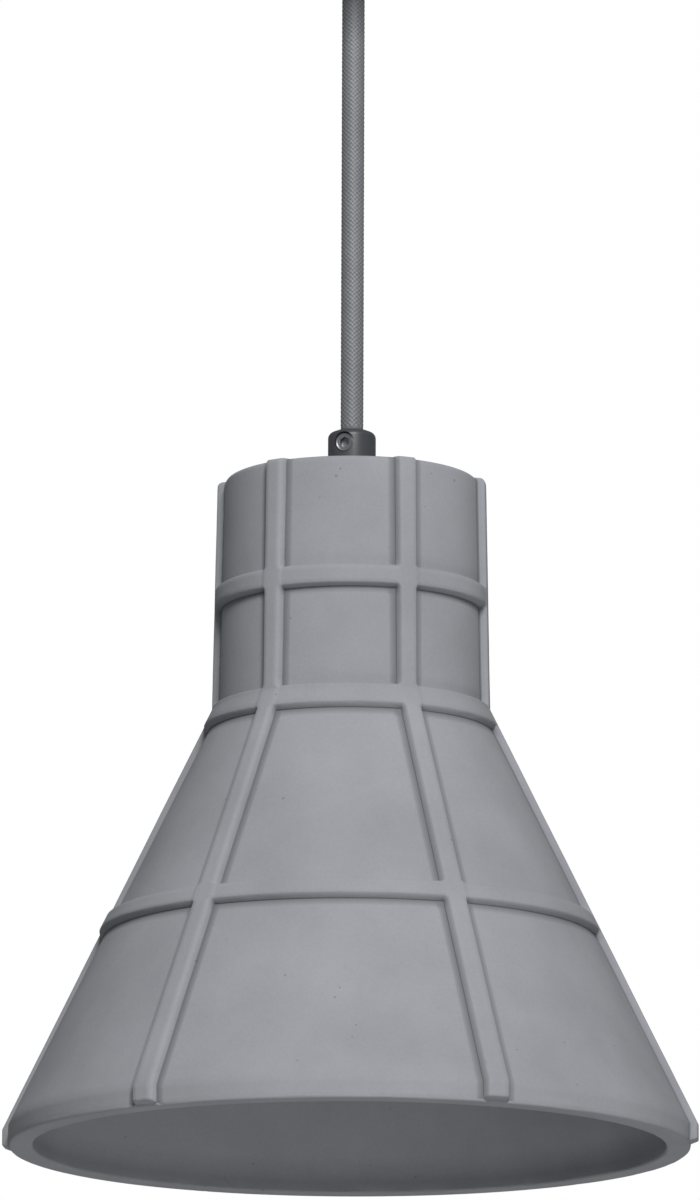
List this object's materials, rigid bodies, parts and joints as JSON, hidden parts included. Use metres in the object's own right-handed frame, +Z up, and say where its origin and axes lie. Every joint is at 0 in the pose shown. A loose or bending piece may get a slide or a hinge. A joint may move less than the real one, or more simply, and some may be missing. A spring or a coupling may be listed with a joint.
{
  "type": "pendant light",
  "caption": "Pendant light with a ribbed cast-concrete shade, a cylindrical neck over a flared cone, hung on a grey braided cord from a ceiling canopy by screw-locked cord grips.",
  "frame": {"origin": "on the ceiling, at the centre of the bracket's top face, on the cord's axis", "axes": "+Z up out of the ceiling fitting, -Y towards the front, +X to the right"},
  "size_m": [0.2154, 0.2112, 0.4144],
  "materials": {
    "concrete": "matt cast",
    "anthracite_metal": "satin",
    "zinc_steel": "zinc plated",
    "brass": "bright",
    "nickel": "bright",
    "black_metal": "satin",
    "black_plastic": "matt",
    "white_plastic": "matt",
    "white_ceramic": "glazed",
    "black_ceramic": "matt",
    "opal_globe": "opal",
    "black_rubber": "matt",
    "grey_textile": "braided",
    "brown_insulation": "matt",
    "blue_insulation": "matt",
    "green_insulation": "matt"
  },
  "bodies": {
    "ceiling_fitting": {"canopy": "anthracite_metal", "ceiling_bracket": "zinc_steel", "canopy_side_screws": "zinc_steel", "earth_screw": "zinc_steel", "earth_tag": "brass", "terminal_block": "white_plastic", "terminal_clamps": "brass", "clamp_screws": "zinc_steel", "block_screw": "zinc_steel", "ceiling_grip": "anthracite_metal", "ceiling_grip_screw": "anthracite_metal", "ceiling_gasket": "black_rubber", "ceiling_nipple": "zinc_steel", "ceiling_washer": "zinc_steel", "ceiling_nut": "zinc_steel", "live_wire_ceiling": "brown_insulation", "neutral_wire_ceiling": "blue_insulation", "earth_wire_ceiling": "green_insulation", "cord_in_canopy": "grey_textile"},
    "ceiling_bend": {"cord_ceiling_bend": "grey_textile"},
    "cord_top": {"cord_upper": "grey_textile"},
    "cord_foot": {"cord_lower": "grey_textile"},
    "shade_bend": {"cord_shade_bend": "grey_textile"},
    "lamp": {"shade_grip": "anthracite_metal", "shade_grip_screw": "anthracite_metal", "shade_gasket": "black_rubber", "shade_nipple": "zinc_steel", "shade_washer": "zinc_steel", "shade_nut": "zinc_steel", "shade": "concrete", "holder_dome": "black_metal", "holder_skirt": "black_plastic", "holder_insert": "white_ceramic", "live_post": "brass", "neutral_post": "brass", "earth_post": "brass", "live_wire_lamp": "brown_insulation", "neutral_wire_lamp": "blue_insulation", "earth_wire_lamp": "green_insulation", "post_screws": "zinc_steel", "screw_shell": "brass", "centre_spring": "brass", "cord_in_lamp": "grey_textile"},
    "bulb_drop_carrier": {"bulb_tip": "brass"},
    "bulb": {"bulb_insulator": "black_ceramic", "bulb_cap": "nickel", "bulb_body": "white_plastic", "bulb_globe": "opal_globe"}
  },
  "joints": [
    {"name": "swing_front", "type": "hinge", "parent": "ceiling_fitting", "child": "ceiling_bend", "pos_m": [0, 0, -0.0452], "axis": [1, 0, 0], "range_deg": [-20, 20]},
    {"name": "swing_side", "type": "hinge", "parent": "ceiling_bend", "child": "cord_top", "pos_m": [0, 0, -0.0452], "axis": [0, 1, 0], "range_deg": [-20, 20]},
    {"name": "cord_turn", "type": "hinge", "parent": "cord_top", "child": "cord_foot", "pos_m": [0, 0, -0.1157], "axis": [0, 0, 1], "range_deg": [-90, 90]},
    {"name": "rock_front", "type": "hinge", "parent": "cord_foot", "child": "shade_bend", "pos_m": [0, 0, -0.1862], "axis": [1, 0, 0], "range_deg": [-12, 12]},
    {"name": "rock_side", "type": "hinge", "parent": "shade_bend", "child": "lamp", "pos_m": [0, 0, -0.1862], "axis": [0, 1, 0], "range_deg": [-12, 12]},
    {"name": "bulb_drop", "type": "slide", "parent": "lamp", "child": "bulb_drop_carrier", "axis": [0, 0, -1], "range_m": [0, 0.01816]},
    {"name": "bulb_turn", "type": "hinge", "parent": "bulb_drop_carrier", "child": "bulb", "pos_m": [0, 0, -0.2524], "axis": [0, 0, -1], "range_deg": [0, 1800]}
  ],
  "couplings": [
    {"joint": "bulb_drop", "follows": "bulb_turn", "m_per_rad": 0.00057757}
  ]
}
